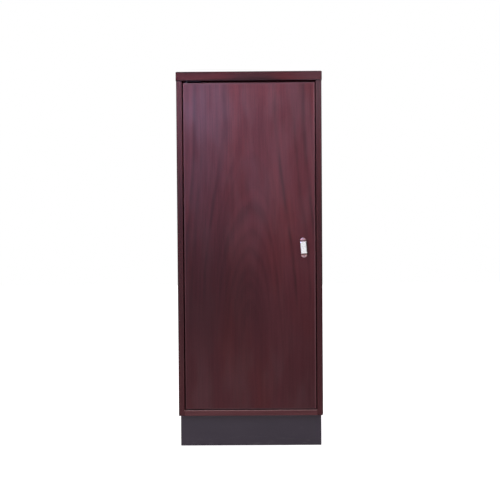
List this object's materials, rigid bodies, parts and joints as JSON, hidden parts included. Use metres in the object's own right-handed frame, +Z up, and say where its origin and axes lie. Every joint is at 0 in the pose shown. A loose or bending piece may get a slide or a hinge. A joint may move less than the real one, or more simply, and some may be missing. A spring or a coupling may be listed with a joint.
{
  "type": "cabinet",
  "caption": "Tall narrow mahogany-veneered cabinet with a hinged door, a turn latch, shelves inside and a recessed dark plinth.",
  "frame": {"origin": "on the floor, at the middle of the whole cabinet's width and depth, the grip on the door included", "axes": "+X to the right seen from the front, +Y from the front to the back, +Z up"},
  "size_m": [0.5024, 0.4376, 1.3],
  "materials": {
    "mahogany_veneer": "stained mahogany veneer on board, satin lacquer",
    "mahogany_solid": "stained solid mahogany strip, satin lacquer",
    "back_plywood": "thin plywood, stained, matt",
    "plinth_lacquer": "board with a dark grey-black satin lacquer",
    "beech": "raw beech",
    "grip_chrome": "polished chrome plating, lightly worn",
    "zinc_steel": "bright zinc-plated steel",
    "plain_brass": "plain brass, dulled",
    "blackened_steel": "steel, blackened and oiled",
    "pivot_nylon": "black nylon",
    "stop_felt": "dark felt"
  },
  "bodies": {
    "root": {"top_panel": "mahogany_veneer", "top_front_lipping": "mahogany_solid", "top_left_lipping": "mahogany_solid", "top_right_lipping": "mahogany_solid", "left_side_panel": "mahogany_veneer", "left_side_lipping": "mahogany_solid", "right_side_panel": "mahogany_veneer", "right_side_lipping": "mahogany_solid", "bottom_panel": "mahogany_veneer", "bottom_front_lipping": "mahogany_solid", "back_panel": "back_plywood", "back_panel_screws": "zinc_steel", "carcass_dowels": "beech", "plinth_front": "plinth_lacquer", "plinth_back": "plinth_lacquer", "plinth_left": "plinth_lacquer", "plinth_right": "plinth_lacquer", "plinth_corner_blocks": "beech", "plinth_screws": "zinc_steel", "lower_shelf": "mahogany_veneer", "lower_shelf_lipping": "mahogany_solid", "middle_shelf": "mahogany_veneer", "middle_shelf_lipping": "mahogany_solid", "upper_shelf": "mahogany_veneer", "upper_shelf_lipping": "mahogany_solid", "shelf_pins": "plain_brass", "top_pivot_plate": "blackened_steel", "top_pivot_pin": "blackened_steel", "top_pivot_washer": "pivot_nylon", "top_pivot_screws": "blackened_steel", "bottom_pivot_plate": "blackened_steel", "bottom_pivot_pin": "blackened_steel", "bottom_pivot_washer": "pivot_nylon", "bottom_pivot_screws": "blackened_steel", "door_stop_strip": "mahogany_solid", "door_stop_pads": "stop_felt", "door_stop_screws": "zinc_steel", "latch_keeper": "blackened_steel", "keeper_screws": "blackened_steel"},
    "door": {"door_panel": "mahogany_veneer", "door_hinge_lipping": "mahogany_solid", "door_latch_lipping": "mahogany_solid", "door_top_lipping": "mahogany_solid", "door_bottom_lipping": "mahogany_solid", "top_door_leaf": "blackened_steel", "door_top_leaf_screws": "blackened_steel", "bottom_door_leaf": "blackened_steel", "door_bottom_leaf_screws": "blackened_steel", "latch_bush": "plain_brass", "latch_rosette": "plain_brass", "rosette_screws": "zinc_steel"},
    "latch": {"latch_base": "grip_chrome", "latch_grip": "grip_chrome", "grip_rivets": "grip_chrome", "latch_spindle": "zinc_steel", "latch_tongue": "zinc_steel", "latch_washer": "zinc_steel", "latch_nut": "zinc_steel"}
  },
  "joints": [
    {"name": "door_hinge", "type": "hinge", "parent": "root", "child": "door", "pos_m": [-0.2145, -0.18975, 0.7], "axis": [0, 0, -1], "range_deg": [0, 120]},
    {"name": "latch_turn", "type": "hinge", "parent": "door", "child": "latch", "pos_m": [0.185, -0.19, 0.6942], "axis": [0, 1, 0], "range_deg": [0, 94]}
  ]
}
